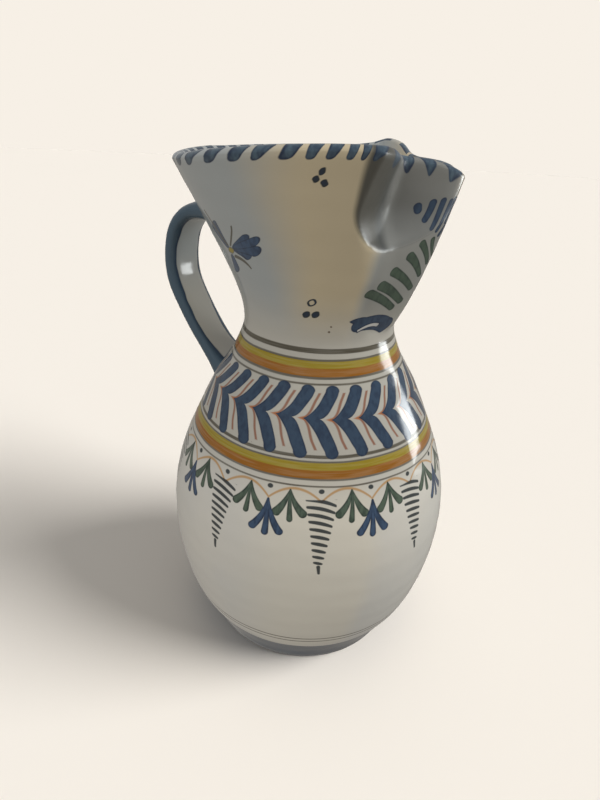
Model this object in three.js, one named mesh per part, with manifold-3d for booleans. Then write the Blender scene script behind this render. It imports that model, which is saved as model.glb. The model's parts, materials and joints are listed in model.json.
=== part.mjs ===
// Painted pottery jug: thrown body, pinched spout and strap handle, fired as one piece.
// Millimetres, +Z up. The origin is the centre of the foot, on its underside.
// The handle points along -X and the spout along +X.
import * as THREE from "three";
import { mergeVertices } from "three/addons/utils/BufferGeometryUtils.js";
import Module from "manifold-3d";

// Body and neck
const footRadius = 53.8;
const footEdge = 1.6;
const bellyRadius = 75.6;
const bellyHeight = 76;
const waistRadius = 37.4;
const waistHeight = 182.2;
const neckFlareRatio = 0.56;
const waistSoftness = 17;
const wall = 5;
const floorThickness = 8;

// Rim: height of its crest at five places, and how far the rounded lip rises past the wall
const rimAtHandle = 256.8;
const rimLowest = 254;
const rimAtNearCorner = 260.5;
const rimAtFarCorner = 264.4;
const rimAtSpout = 252.4;
const lipRise = 2.4;

// Spout
const spoutBase = 183;
const spoutReach = 59;
const spoutReachHeight = 250;
const spoutBulge = 2.8;
const spoutLeanAngle = 8;
const nearHalfAngle = 57;
const farHalfAngle = 86;
const ridgeSoftnessRatio = 0.05;

// Thumb presses beside the spout
const pressDepth = 10.5;
const pressHeight = 241;
const pressDrop = 17;
const pressHalfAngle = 19;

// Handle strap
const strapWidth = 24;
const strapThickness = 8.5;
const handleReach = 88;
const handleTop = 227;
const handleFoot = 146;
const rootSpreadRatio = 1.22;

// Fineness of the facets
const segments = 78;
const bodySteps = 11;
const neckSteps = 14;
const lipSteps = 4;
const strapSides = 14;
const strapSteps = 26;

const radians = THREE.MathUtils.degToRad;
const smooth = THREE.MathUtils.smoothstep;
const mix = THREE.MathUtils.lerp;

// A smooth curve y(x) through points given in rising x, level at the last one.
function curveThrough(points) {
  const slope = points.map((point, i) => {
    const before = points[Math.max(i - 1, 0)];
    const after = points[Math.min(i + 1, points.length - 1)];
    return (after[1] - before[1]) / (after[0] - before[0]);
  });
  slope[points.length - 1] = 0;
  return (x) => {
    const next = points.findIndex(([place], i) => i > 0 && place > x);
    const k = next < 0 ? points.length - 2 : next - 1;
    const [x0, y0] = points[k];
    const [x1, y1] = points[k + 1];
    const t = (x - x0) / (x1 - x0);
    const run = x1 - x0;
    return y0 * (1 + 2 * t) * (1 - t) ** 2 + y1 * t * t * (3 - 2 * t)
      + run * slope[k] * t * (1 - t) ** 2 - run * slope[k + 1] * t * t * (1 - t);
  };
}

// Below the waist the wall follows shares of the way from foot to belly and belly to waist.
const risePoints = [[0, 0], [0.17, 0.27], [0.4, 0.66], [0.67, 0.9], [0.93, 1]];
const shoulderPoints = [[0.14, 0.02], [0.33, 0.144], [0.52, 0.364], [0.71, 0.62], [0.86, 0.875], [1, 1]];
const bodyRadius = curveThrough([
  ...risePoints.map(([h, r]) => [h * bellyHeight, mix(footRadius, bellyRadius, r)]),
  ...shoulderPoints.map(([h, r]) => [mix(bellyHeight, waistHeight, h), mix(bellyRadius, waistRadius, r)]),
]);

function wallRadius(z) {
  if (z <= waistHeight) return bodyRadius(z);
  return waistRadius + neckFlareRatio * (Math.hypot(z - waistHeight, waistSoftness) - waistSoftness);
}
const neckSlant = Math.hypot(1, neckFlareRatio);

// The hand-pulled spout is wider on its far side, +Y, than on its near side.
const halfAngle = (turn) => (turn < 0 ? nearHalfAngle : farHalfAngle);

// Height of the crest of the rim at an angle from the spout, in degrees. Each row gives
// angles with the share of the way from a lower height to a higher one.
function rimRow(low, high, shares) {
  return shares.map(([angle, share]) => [angle, mix(low, high, share)]);
}
const rimHeight = curveThrough([
  [-180, rimAtHandle],
  ...rimRow(rimLowest, rimAtNearCorner, [[-140, 0], [-120, 0.11], [-100, 0.45], [-72, 0.88], [-49, 1]]),
  ...rimRow(rimAtSpout, rimAtNearCorner, [[-36, 0.8], [-20, 0.63], [-9, 0.53], [0, 0.27], [8, 0]]),
  ...rimRow(rimAtSpout, rimAtFarCorner, [[25, 0.22], [45, 0.33], [60, 0.39], [70, 0.52]]),
  ...rimRow(rimAtSpout, rimAtFarCorner, [[80, 0.86], [91, 1]]),
  ...rimRow(rimAtHandle, rimAtFarCorner, [[98, 0.7], [110, 0.47], [130, 0.38], [150, 0.21], [180, 0]]),
]);

// How far the ridge of the spout stands from the axis.
function ridgeReach(z) {
  const span = spoutReachHeight - spoutBase;
  const t = (z - spoutBase) / span;
  const start = wallRadius(spoutBase);
  const bulge = spoutBulge * Math.sin(Math.PI * Math.min(Math.max(t, 0), 1) ** 0.7);
  return mix(start, spoutReach, Math.min(t, 1)) + bulge + Math.max(t - 1, 0) * span * 0.25;
}

// Distance of the wall from the axis above the waist; inset 0 is the outer face.
function neckRadius(angle, z, inset) {
  const up = (z - spoutBase) / (rimAtNearCorner - spoutBase);
  const lean = mix(-spoutLeanAngle / 2, spoutLeanAngle, Math.min(Math.max(up, 0), 1));
  const turn = angle - lean;
  const away = Math.abs(turn);
  const round = wallRadius(z) - inset * neckSlant;
  if (up <= 0) return round;
  const splay = mix(0.45, 0.62, up);
  const side = Math.hypot(Math.sin(radians(away)), ridgeSoftnessRatio) - ridgeSoftnessRatio;
  const flank = (ridgeReach(z) - inset * Math.hypot(1, splay))
    / (Math.cos(radians(Math.min(away, 80))) + splay * side);
  const reach = mix(nearHalfAngle / 2, halfAngle(turn), smooth(up, 0, 0.6));
  const share = (1 - smooth(away, 0.45 * reach, reach)) * smooth(up, 0, 0.04);
  return mix(round, flank, share) - thumbPress(away, halfAngle(turn), z);
}

// Depth of the thumb presses: a crisp edge on the neck's side, fading out towards the ridge.
function thumbPress(away, corner, z) {
  const down = z < pressHeight ? (z - pressHeight) / pressDrop : (z - pressHeight) / (4 * pressDrop);
  const level = 1 - down * down;
  if (level <= 0) return 0;
  const across = (away - corner + pressHalfAngle) / pressHalfAngle / Math.sqrt(level);
  const bowl = 1 - (across > 0 ? across : across / 2) ** 2;
  if (bowl <= 0) return 0;
  return pressDepth * level * (across > 0 ? bowl : bowl * bowl);
}

// Stations along the wall's section, each a height share and an inset into the wall.
function bodyStations(inset, lowest) {
  return Array.from({ length: bodySteps }, (_, i) => {
    const z = mix(lowest, waistHeight, i / bodySteps);
    return { z, inset };
  });
}
function neckStations(inset) {
  return Array.from({ length: neckSteps + 1 }, (_, i) => ({ up: i / neckSteps, inset, rise: 0 }));
}
function lipStations() {
  return Array.from({ length: lipSteps }, (_, i) => {
    const turn = Math.PI * (i + 1) / (lipSteps + 1);
    return { up: 1, inset: wall * (1 - Math.cos(turn)) / 2, rise: lipRise * Math.sin(turn) };
  });
}

// A closed shell of revolution, pulled into the neck's shape station by station.
function thrownShell(stations) {
  const outline = stations.map(() => new THREE.Vector2(1, 0));
  const lathe = new THREE.LatheGeometry(outline, segments);
  const position = lathe.getAttribute("position");
  for (let i = 0; i < position.count; i += 1) {
    const station = stations[i % stations.length];
    const even = 360 * Math.floor(i / stations.length) / segments - 180;
    const angle = even - 20 * Math.sin(radians(even));
    const crest = rimHeight(angle) - lipRise;
    const z = station.up === undefined ? station.z : mix(waistHeight, crest, station.up) + station.rise;
    const level = station.up === undefined ? z : z - station.rise;
    let radius = wallRadius(level) - station.inset;
    if (station.up !== undefined) radius = neckRadius(angle, level, station.inset);
    if (station.radius !== undefined) radius = station.radius;
    position.setXYZ(i, radius * Math.cos(radians(angle)), radius * Math.sin(radians(angle)), z);
  }
  return lathe;
}

function vesselGeometry() {
  return thrownShell([
    { z: 0, inset: 0, radius: 0 },
    { z: 0, inset: 0, radius: footRadius - footEdge },
    ...bodyStations(0, footEdge),
    ...neckStations(0),
    ...lipStations(),
    ...neckStations(wall).reverse(),
    ...bodyStations(wall, floorThickness + wall).reverse(),
    { z: floorThickness, inset: 0, radius: bodyRadius(floorThickness) - 2.5 * wall },
    { z: floorThickness, inset: 0, radius: 0 },
  ]);
}

// The filled jug up to the middle of its wall, which trims the roots of the handle.
function coreGeometry() {
  return thrownShell([
    { z: floorThickness, inset: 0, radius: 0 },
    ...bodyStations(wall / 2, floorThickness),
    ...neckStations(wall / 2),
    { z: rimAtHandle, inset: 0, radius: 0 },
  ]);
}

// The strap leaves the neck level, arches over and comes down to the shoulder.
function handleGeometry() {
  const topRadius = wallRadius(handleTop) - wall / 2;
  const footEnd = wallRadius(handleFoot) - wall / 2;
  const drop = handleTop - handleFoot;
  const bend = handleReach - topRadius;
  const path = new THREE.CatmullRomCurve3([
    [topRadius, handleTop - 0.012 * drop],
    [topRadius + 0.32 * bend, handleTop],
    [topRadius + 0.66 * bend, handleTop - 0.025 * drop],
    [handleReach - 0.12 * bend, handleTop - 0.11 * drop],
    [handleReach, handleTop - 0.26 * drop],
    [handleReach - 0.015 * bend, handleTop - 0.46 * drop],
    [mix(footEnd, handleReach, 0.73), handleTop - 0.68 * drop],
    [mix(footEnd, handleReach, 0.42), handleTop - 0.87 * drop],
    [mix(footEnd, handleReach, 0.14), handleFoot],
    [0.98 * footEnd, handleFoot - 0.06 * drop],
  ].map(([r, z]) => new THREE.Vector3(-r, 0, z)));
  const tube = new THREE.CylinderGeometry(1, 1, 1, strapSides, strapSteps);
  const position = tube.getAttribute("position");
  const across = new THREE.Vector3(0, 1, 0);
  for (let i = 0; i < position.count; i += 1) {
    const along = position.getY(i) + 0.5;
    const centre = path.getPointAt(along);
    const outward = new THREE.Vector3().crossVectors(across, path.getTangentAt(along));
    const ends = Math.max(1 - along / 0.22, 0) ** 2 + Math.max((along - 0.8) / 0.2, 0) ** 2;
    const width = strapWidth / 2 * mix(1, rootSpreadRatio, ends);
    const depth = strapThickness / 2 * mix(1, 1.6, ends);
    const [sx, sy] = [position.getX(i), position.getZ(i)];
    const boxy = 1 / Math.max(Math.hypot(sx, sy), 1e-9);
    const round = (s) => Math.sign(s) * Math.abs(s * boxy) ** 0.72 / boxy;
    centre.addScaledVector(across, width * round(sx)).addScaledVector(outward, depth * round(sy));
    position.setXYZ(i, centre.x, centre.y, centre.z);
  }
  return tube;
}

const manifoldModule = await Module();
manifoldModule.setup();

function solidFrom(geometry) {
  geometry.deleteAttribute("normal");
  geometry.deleteAttribute("uv");
  const merged = mergeVertices(geometry, 1e-4);
  const kept = [];
  const corners = merged.index.array;
  for (let i = 0; i < corners.length; i += 3) {
    const [a, b, c] = corners.slice(i, i + 3);
    if (a !== b && b !== c && c !== a) kept.push(a, b, c);
  }
  const solid = new manifoldModule.Manifold(new manifoldModule.Mesh({
    numProp: 3,
    vertProperties: new Float32Array(merged.getAttribute("position").array),
    triVerts: new Uint32Array(kept),
  }));
  return solid;
}

function geometryFrom(solid) {
  const mesh = solid.getMesh();
  const geometry = new THREE.BufferGeometry();
  geometry.setAttribute("position", new THREE.BufferAttribute(mesh.vertProperties, 3));
  geometry.setIndex(new THREE.BufferAttribute(mesh.triVerts, 1));
  geometry.computeVertexNormals();
  return geometry;
}

const vessel = solidFrom(vesselGeometry());
const strap = solidFrom(handleGeometry()).subtract(solidFrom(coreGeometry()));
const jugSolid = vessel.add(strap);

const glaze = new THREE.MeshStandardMaterial({ color: 0xd9d2c2, roughness: 0.18, metalness: 0 });
const jug = new THREE.Mesh(geometryFrom(jugSolid), glaze);
jug.name = "jug";

const part = new THREE.Group();
part.add(jug);
export default part;
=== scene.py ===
# %% [markdown]
# # A painted pottery jug
# This lesson dresses one jug: a thrown, tin-glazed body with a pinched spout and a strap
# handle. The imported model gives the frame and the true size, so it is loaded first, and
# its box is printed, as the finished jug's box is at the end.

# %% Load the imported model
import json
from math import atan2, cos, degrees, exp, hypot, pi, radians, sin, sqrt

import bmesh
import bpy
import numpy as np
from mathutils import Matrix, Vector

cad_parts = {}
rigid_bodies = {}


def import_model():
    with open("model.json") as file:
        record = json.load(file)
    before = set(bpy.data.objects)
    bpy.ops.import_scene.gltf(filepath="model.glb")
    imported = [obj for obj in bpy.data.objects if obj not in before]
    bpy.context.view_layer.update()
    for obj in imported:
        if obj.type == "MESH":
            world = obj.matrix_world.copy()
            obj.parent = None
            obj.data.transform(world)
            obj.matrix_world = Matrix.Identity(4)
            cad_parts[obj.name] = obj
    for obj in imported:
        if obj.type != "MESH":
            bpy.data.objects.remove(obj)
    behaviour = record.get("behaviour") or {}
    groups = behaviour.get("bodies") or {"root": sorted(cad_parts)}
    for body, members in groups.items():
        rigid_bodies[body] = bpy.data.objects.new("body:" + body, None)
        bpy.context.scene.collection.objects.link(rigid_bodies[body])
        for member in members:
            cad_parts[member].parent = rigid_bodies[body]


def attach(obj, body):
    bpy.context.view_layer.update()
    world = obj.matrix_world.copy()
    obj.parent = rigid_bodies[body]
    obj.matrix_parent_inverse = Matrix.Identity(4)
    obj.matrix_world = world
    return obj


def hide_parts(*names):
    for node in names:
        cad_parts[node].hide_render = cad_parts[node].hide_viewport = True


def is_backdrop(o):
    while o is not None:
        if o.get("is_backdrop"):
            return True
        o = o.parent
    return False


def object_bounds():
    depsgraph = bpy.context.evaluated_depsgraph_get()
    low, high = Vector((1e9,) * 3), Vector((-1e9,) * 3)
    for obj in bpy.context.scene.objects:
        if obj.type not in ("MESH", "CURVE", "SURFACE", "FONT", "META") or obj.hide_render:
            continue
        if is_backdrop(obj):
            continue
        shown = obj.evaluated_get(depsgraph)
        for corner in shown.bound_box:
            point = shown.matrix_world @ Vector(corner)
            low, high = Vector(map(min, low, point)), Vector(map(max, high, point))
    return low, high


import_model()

cad_low, cad_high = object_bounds()
cad_size = [round(1000 * (b - a), 1) for a, b in zip(cad_low, cad_high)]
print("box of the packed jug in mm:", cad_size)

# %% [markdown]
# ## Where the eye stands
# The jug was seen from close by and from above, by a wide lens held slightly tilted. A
# camera is fully given by its place and three directions, so they are worked out from
# the heading, the pitch and the roll, and the lens from the focal length in pixels.

# %% Camera
FOCAL_PIXELS, LONG_SIDE_PIXELS = 520, 800
SENSOR_WIDTH = 36
CAMERA_PLACE = (0.0, -0.2532, 0.26004)
HEADING, PITCH, ROLL = -0.02945, 0.45909, 0.05313
JUG_TURN = radians(27)

forward = Vector((sin(HEADING) * cos(PITCH), cos(HEADING) * cos(PITCH), -sin(PITCH)))
level_right = forward.cross(Vector((0, 0, 1))).normalized()
level_up = level_right.cross(forward)
right = cos(ROLL) * level_right + sin(ROLL) * level_up
up = cos(ROLL) * level_up - sin(ROLL) * level_right
aim = Matrix((right, up, -forward)).transposed().to_4x4()

camera_data = bpy.data.cameras.new("camera")
camera_data.sensor_width = SENSOR_WIDTH
camera_data.lens = SENSOR_WIDTH * FOCAL_PIXELS / LONG_SIDE_PIXELS
camera_data.clip_start = 0.01
camera = bpy.data.objects.new("camera", camera_data)
bpy.context.scene.collection.objects.link(camera)
camera.matrix_world = Matrix.Rotation(JUG_TURN, 4, "Z") @ Matrix.Translation(CAMERA_PLACE) @ aim
bpy.context.scene.camera = camera
camera_spot = [round(c, 4) for c in camera.matrix_world.translation]
print("camera at", camera_spot, "lens", camera_data.lens)

# %% [markdown]
# ## The shape of the thrown wall
# A thrown pot is a profile turned round an axis, and only its mouth is pulled out of
# round afterwards. So the wall is a radius that depends on height, and above the waist
# on the angle too: the ridge of the spout, its two flanks and the thumb presses beside
# it. All lengths are in millimetres here, and the same as in the solid model.

# %% Measures of the jug, in millimetres
FOOT_RADIUS, FOOT_EDGE = 53.8, 1.6
BELLY_RADIUS, BELLY_HEIGHT = 75.6, 76.0
WAIST_RADIUS, WAIST_HEIGHT, WAIST_SOFTNESS = 37.4, 182.2, 17.0
NECK_FLARE = 0.56
WALL, FLOOR = 5.0, 8.0
RIM_AT_HANDLE, RIM_LOWEST, RIM_AT_SPOUT = 256.8, 254.0, 252.4
RIM_AT_NEAR_CORNER, RIM_AT_FAR_CORNER = 260.5, 264.4
LIP_RISE = 2.4
SPOUT_BASE, SPOUT_REACH, SPOUT_REACH_HEIGHT = 183.0, 59.0, 250.0
SPOUT_BULGE, SPOUT_LEAN = 2.8, 8.0
NEAR_HALF_ANGLE, FAR_HALF_ANGLE = 57.0, 86.0
RIDGE_SOFTNESS = 0.05
PRESS_DEPTH, PRESS_HEIGHT, PRESS_DROP, PRESS_HALF_ANGLE = 10.5, 241.0, 17.0, 19.0
STRAP_WIDTH, STRAP_THICKNESS = 24.0, 8.5
HANDLE_REACH, HANDLE_TOP, HANDLE_FOOT = 88.0, 227.0, 146.0
ROOT_SPREAD = 1.22
print("the rim is highest at", RIM_AT_FAR_CORNER, "mm, and the wall is", WALL, "mm thick")


# %% Round part of the wall
def mix(a, b, share):
    return a + (b - a) * share


def smooth(x, low, high):
    t = min(max((x - low) / (high - low), 0.0), 1.0)
    return t * t * (3 - 2 * t)


def curve_through(points):
    """A smooth curve y(x) through points in rising x, level at the last one."""
    slopes = []
    for i in range(len(points)):
        before, after = points[max(i - 1, 0)], points[min(i + 1, len(points) - 1)]
        slopes.append((after[1] - before[1]) / (after[0] - before[0]))
    slopes[-1] = 0.0

    def curve(x):
        k = max(i for i in range(len(points) - 1) if i == 0 or points[i][0] <= x)
        (x0, y0), (x1, y1) = points[k], points[k + 1]
        width = x1 - x0
        t = (x - x0) / width
        return ((2 * t**3 - 3 * t**2 + 1) * y0 + (t**3 - 2 * t**2 + t) * width * slopes[k]
                + (3 * t**2 - 2 * t**3) * y1 + (t**3 - t**2) * width * slopes[k + 1])
    return curve


RISE = [(0, 0), (0.17, 0.27), (0.4, 0.66), (0.67, 0.9), (0.93, 1)]
SHOULDER = [(0.14, 0.02), (0.33, 0.144), (0.52, 0.364), (0.71, 0.62), (0.86, 0.875), (1, 1)]
opening = [(BELLY_HEIGHT * h, mix(FOOT_RADIUS, BELLY_RADIUS, r)) for h, r in RISE]
closing = [(mix(BELLY_HEIGHT, WAIST_HEIGHT, h), mix(BELLY_RADIUS, WAIST_RADIUS, r))
           for h, r in SHOULDER]
body_radius = curve_through(opening + closing)


def wall_radius(z):
    if z <= WAIST_HEIGHT:
        return body_radius(z)
    return WAIST_RADIUS + NECK_FLARE * (hypot(z - WAIST_HEIGHT, WAIST_SOFTNESS) - WAIST_SOFTNESS)


main_radii = [round(wall_radius(z), 1) for z in (0, BELLY_HEIGHT, WAIST_HEIGHT)]
print("radius at foot, belly, waist:", main_radii)


# %% Height of the rim
def rim_row(low, high, shares):
    return [(angle, mix(low, high, share)) for angle, share in shares]


rim_height = curve_through(
    [(-180, RIM_AT_HANDLE)]
    + rim_row(RIM_LOWEST, RIM_AT_NEAR_CORNER,
              [(-140, 0), (-120, 0.11), (-100, 0.45), (-72, 0.88), (-49, 1)])
    + rim_row(RIM_AT_SPOUT, RIM_AT_NEAR_CORNER,
              [(-36, 0.8), (-20, 0.63), (-9, 0.53), (0, 0.27), (8, 0)])
    + rim_row(RIM_AT_SPOUT, RIM_AT_FAR_CORNER,
              [(25, 0.22), (45, 0.33), (60, 0.39), (70, 0.52), (80, 0.86), (91, 1)])
    + rim_row(RIM_AT_HANDLE, RIM_AT_FAR_CORNER,
              [(98, 0.7), (110, 0.47), (130, 0.38), (150, 0.21), (180, 0)]))
print("the rim at the spout is", round(rim_height(SPOUT_LEAN), 1), "mm high")


# %% Ridge of the spout and thumb presses
def half_angle(turn):
    """Where the pulled part ends, on the near side and on the far side of the spout."""
    return NEAR_HALF_ANGLE if turn < 0 else FAR_HALF_ANGLE


def ridge_reach(z):
    """How far the ridge of the spout stands from the axis."""
    span = SPOUT_REACH_HEIGHT - SPOUT_BASE
    t = (z - SPOUT_BASE) / span
    bulge = SPOUT_BULGE * sin(pi * min(max(t, 0), 1) ** 0.7)
    beyond = max(t - 1, 0) * span * 0.25
    return mix(wall_radius(SPOUT_BASE), SPOUT_REACH, min(t, 1)) + bulge + beyond


def thumb_press(away, corner, z):
    """Depth of the press beside a corner; it fades upwards more slowly than downwards."""
    drop = PRESS_DROP if z < PRESS_HEIGHT else 4 * PRESS_DROP
    level = 1 - ((z - PRESS_HEIGHT) / drop) ** 2
    if level <= 0:
        return 0.0
    across = (away - corner + PRESS_HALF_ANGLE) / PRESS_HALF_ANGLE / sqrt(level)
    bowl = 1 - (across if across > 0 else across / 2) ** 2
    if bowl <= 0:
        return 0.0
    return PRESS_DEPTH * level * (bowl if across > 0 else bowl * bowl)


print("the ridge stands", round(ridge_reach(SPOUT_REACH_HEIGHT), 1), "mm from the axis")


# %% Pulled part of the wall
def neck_radius(angle, z, inset=0.0):
    """Distance of the wall from the axis; inset 0 is the outer face."""
    round_wall = wall_radius(z) - inset * (hypot(1, NECK_FLARE) if z > WAIST_HEIGHT else 1)
    rise = (z - SPOUT_BASE) / (RIM_AT_NEAR_CORNER - SPOUT_BASE)
    if rise <= 0:
        return round_wall
    turn = angle - mix(-SPOUT_LEAN / 2, SPOUT_LEAN, min(rise, 1))
    away = abs(turn)
    splay = mix(0.45, 0.62, rise)
    side = hypot(sin(radians(away)), RIDGE_SOFTNESS) - RIDGE_SOFTNESS
    ridge = ridge_reach(z) - inset * hypot(1, splay)
    flank = ridge / (cos(radians(min(away, 80))) + splay * side)
    reach = mix(NEAR_HALF_ANGLE / 2, half_angle(turn), smooth(rise, 0, 0.6))
    share = (1 - smooth(away, 0.45 * reach, reach)) * smooth(rise, 0, 0.04)
    return mix(round_wall, flank, share) - thumb_press(away, half_angle(turn), z)


print("the spout's tip reaches", round(neck_radius(SPOUT_LEAN, 253), 1), "mm")
print("in the thumb press the wall reaches", round(neck_radius(-45, PRESS_HEIGHT), 1), "mm")

# %% [markdown]
# ## A paper pattern for the painter
# The neck's pictures are painted on a surface that is flat nowhere, and near the spout
# the angle round the axis hardly changes along the flank. A tape laid round the neck
# from the ridge of the spout gives honest brush lengths, so each point of the wall gets
# two numbers: the run of that tape and the height. Rim strokes are counted instead,
# because they crowd together near the pinch, and the count is stretched between them.

# %% Tape measure round the neck
TAPE_HEIGHTS = np.linspace(WAIST_HEIGHT - 4, RIM_AT_FAR_CORNER, 44)
TAPE_ANGLES = np.arange(-180, 181, 1.0)


def tape_at(z):
    reach = np.array([neck_radius(a, z) for a in TAPE_ANGLES])
    turn = np.radians(TAPE_ANGLES)
    x, y = reach * np.cos(turn), reach * np.sin(turn)
    run = np.concatenate([[0], np.cumsum(np.hypot(np.diff(x), np.diff(y)))])
    rise = (z - SPOUT_BASE) / (RIM_AT_NEAR_CORNER - SPOUT_BASE)
    ridge = mix(-SPOUT_LEAN / 2, SPOUT_LEAN, min(max(rise, 0), 1))
    return run - np.interp(ridge, TAPE_ANGLES, run)


TAPE = np.array([tape_at(z) for z in TAPE_HEIGHTS])


def tape(angle, z):
    """Run of the tape from the spout's ridge to an angle, at one height, in millimetres."""
    place = np.interp(z, TAPE_HEIGHTS, range(len(TAPE_HEIGHTS)))
    low = min(int(place), len(TAPE_HEIGHTS) - 2)
    row = mix(TAPE[low], TAPE[low + 1], place - low)
    past = max(angle - 180, 0) - max(-180 - angle, 0)
    return float(np.interp(angle, TAPE_ANGLES, row)) + radians(past) * wall_radius(z)


print("tape from ridge to handle at the rim:", round(tape(180, 250), 1), "mm")

# %% Where the rim strokes sit
NEAR_STROKES = [-122, -111.5, -99.5, -89.8, -82.6, -73.6, -67, -62, -57, -53.6, -50.3]
FLANK_STROKES = [-40.8, -18.6, -10.2, -1.2]
BACK_STROKES = [NEAR_STROKES[0] - 8.1 * i for i in range(1, 8)][::-1]
far_runs = [9 * i for i in range(1, 8)]
far_flank = [float(np.interp(run, TAPE[-2], TAPE_ANGLES)) for run in far_runs]
far_flank = [a for a in far_flank if a < FAR_HALF_ANGLE]
far_side = list(np.linspace(FAR_HALF_ANGLE + 6, 360 + BACK_STROKES[0] - 8.1, 12))
STROKES = BACK_STROKES + NEAR_STROKES + FLANK_STROKES + far_flank + far_side
marks = [STROKES[-1] - 360] + STROKES + [STROKES[0] + 360]


def stroke_number(angle):
    return float(np.interp(angle, marks, range(-1, len(STROKES) + 1)))


print(len(STROKES), "strokes round the rim; far flank at", [round(a) for a in far_flank])

# %% [markdown]
# ## Throwing the body
# On a wheel the clay rises as a profile that turns. Here a chain of edges from the
# middle of the foot, up the outside, over the lip and down the inside is spun once
# round, and then each point above the waist is pulled to the shape of the mouth. The
# foot is turned hollow underneath, so that the jug stands on a ring.


# %% Profile of the wall
def line_of(first, last, count):
    return [mix(first, last, i / count) for i in range(count)]


def add_station(z, inset, radius=None, share=None, rise=0.0):
    stations.append({"z": z, "inset": inset, "radius": radius, "share": share, "rise": rise})


RECESS = 1.6
HOLLOW_FOOT = [(0, RECESS), (20, RECESS), (38, RECESS), (43, RECESS), (44.5, RECESS * 0.8),
               (45.5, RECESS * 0.25), (46.5, 0), (50, 0), (FOOT_RADIUS - FOOT_EDGE, 0),
               (FOOT_RADIUS - 0.7, 0.25), (FOOT_RADIUS - 0.15, 0.8)]
INNER_FLOOR = [(53.2, 11.2), (50.4, 9.6), (46.4, 8.6), (41.5, 8.05),
               (30, FLOOR), (12, FLOOR), (0, FLOOR)]
LIP_STEPS = 12

stations = []
for radius, z in HOLLOW_FOOT:
    add_station(z, 0, radius=radius)
for z in line_of(FOOT_EDGE, WAIST_HEIGHT, 88):
    add_station(z, 0)
for share in line_of(0, 1, 42):
    add_station(0, 0, share=share)
add_station(0, 0, share=1)
for i in range(1, LIP_STEPS):
    turn = pi * i / LIP_STEPS
    add_station(0, WALL * (1 - cos(turn)) / 2, share=1, rise=LIP_RISE * sin(turn))
for share in [1] + line_of(0, 1, 34)[::-1]:
    add_station(0, WALL, share=share)
for z in line_of(FLOOR + WALL, WAIST_HEIGHT, 42)[::-1]:
    add_station(z, WALL)
for radius, z in INNER_FLOOR:
    add_station(z, 0, radius=radius)
print(len(stations), "stations along the profile")


# %% Spin the profile
def place_of(station, angle):
    """Where a station of the profile goes at an angle: radius and height in millimetres."""
    if station["radius"] is not None:
        return station["radius"], station["z"]
    if station["share"] is None:
        return wall_radius(station["z"]) - station["inset"], station["z"]
    crest = rim_height(angle) - LIP_RISE
    level = mix(WAIST_HEIGHT, crest, station["share"])
    return neck_radius(angle, level, station["inset"]), level + station["rise"]


SEGMENTS = 360
THROWING_RIPPLE = 0.05
body_mesh = bmesh.new()
chain = [body_mesh.verts.new((i + 1.0, 0, 0)) for i in range(len(stations))]
edges = [body_mesh.edges.new(pair) for pair in zip(chain, chain[1:])]
bmesh.ops.spin(body_mesh, geom=chain + edges, cent=(0, 0, 0), axis=(0, 0, 1),
               angle=2 * pi, steps=SEGMENTS, use_merge=True)
station_of = {}
angle_of = {}
for v in body_mesh.verts:
    station_of[v] = round(hypot(v.co.x, v.co.y)) - 1
    angle_of[v] = degrees(atan2(v.co.y, v.co.x))
for v in body_mesh.verts:
    reach, z = place_of(stations[station_of[v]], angle_of[v])
    turn = radians(angle_of[v])
    if reach > 30:
        reach += THROWING_RIPPLE * sin(0.55 * z + 0.4 * sin(turn))
    v.co = (reach * cos(turn) / 1000, reach * sin(turn) / 1000, z / 1000)
print(len(body_mesh.verts), "points,", len(body_mesh.faces), "faces after the spin")

# %% Lay the paper pattern on the body
LAST_OUTER = max(i for i, s in enumerate(stations) if s["share"] == 1 and s["inset"] == 0)
HALF_LIP = LIP_STEPS // 2
LIP_MIDDLE = LAST_OUTER + HALF_LIP
OVER_LIP = 3.5
WIPED_STATIONS = 9
FOOT_SEAM, BELLY_SEAM, NECK_SEAM, SPOUT_SIDE = 36, 125.9, 181.5, 52
SURFACES = ["foot", "belly", "bands", "neck", "spout", "inside", "underside"]


def surface_of(station, angle, z):
    if station < WIPED_STATIONS:
        return "underside"
    if station > LIP_MIDDLE + LIP_STEPS:
        return "inside"
    if z > NECK_SEAM:
        return "spout" if abs(angle) < SPOUT_SIDE else "neck"
    return "bands" if z > BELLY_SEAM else "belly" if z > FOOT_SEAM else "foot"


def below_crest(station, angle, z):
    """How far a point lies below the crest of the rim, negative inside the mouth."""
    crest = rim_height(angle) - LIP_RISE
    if station <= LAST_OUTER:
        return (crest - z) * hypot(1, NECK_FLARE) + OVER_LIP
    if station < LIP_MIDDLE + HALF_LIP:
        return OVER_LIP * (LIP_MIDDLE - station) / HALF_LIP
    return z - crest - OVER_LIP


paper = body_mesh.loops.layers.uv.new("paper")
rim_count = body_mesh.loops.layers.uv.new("rim_count")
for face in body_mesh.faces:
    middle = face.calc_center_median()
    centre_angle = degrees(atan2(middle.y, middle.x))
    numbers = [station_of[v] for v in face.verts]
    kind = surface_of(min(numbers), centre_angle, 1000 * middle.z)
    face.material_index = SURFACES.index(kind)
    face.smooth = True
    if kind not in ("neck", "spout"):
        continue
    for loop in face.loops:
        angle = angle_of[loop.vert]
        if abs(angle - centre_angle) > 180:
            angle += 360 if centre_angle > 0 else -360
        z = 1000 * loop.vert.co.z
        below = below_crest(station_of[loop.vert], angle, z)
        loop[paper].uv = (tape(angle, z) / 100, z / 100)
        loop[rim_count].uv = (stroke_number(angle), below / 10)
bmesh.ops.remove_doubles(body_mesh, verts=body_mesh.verts, dist=1e-7)
bmesh.ops.recalc_face_normals(body_mesh, faces=body_mesh.faces)
kinds = [face.material_index for face in body_mesh.faces]
print("faces per surface:", {name: kinds.count(i) for i, name in enumerate(SURFACES)})


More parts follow.
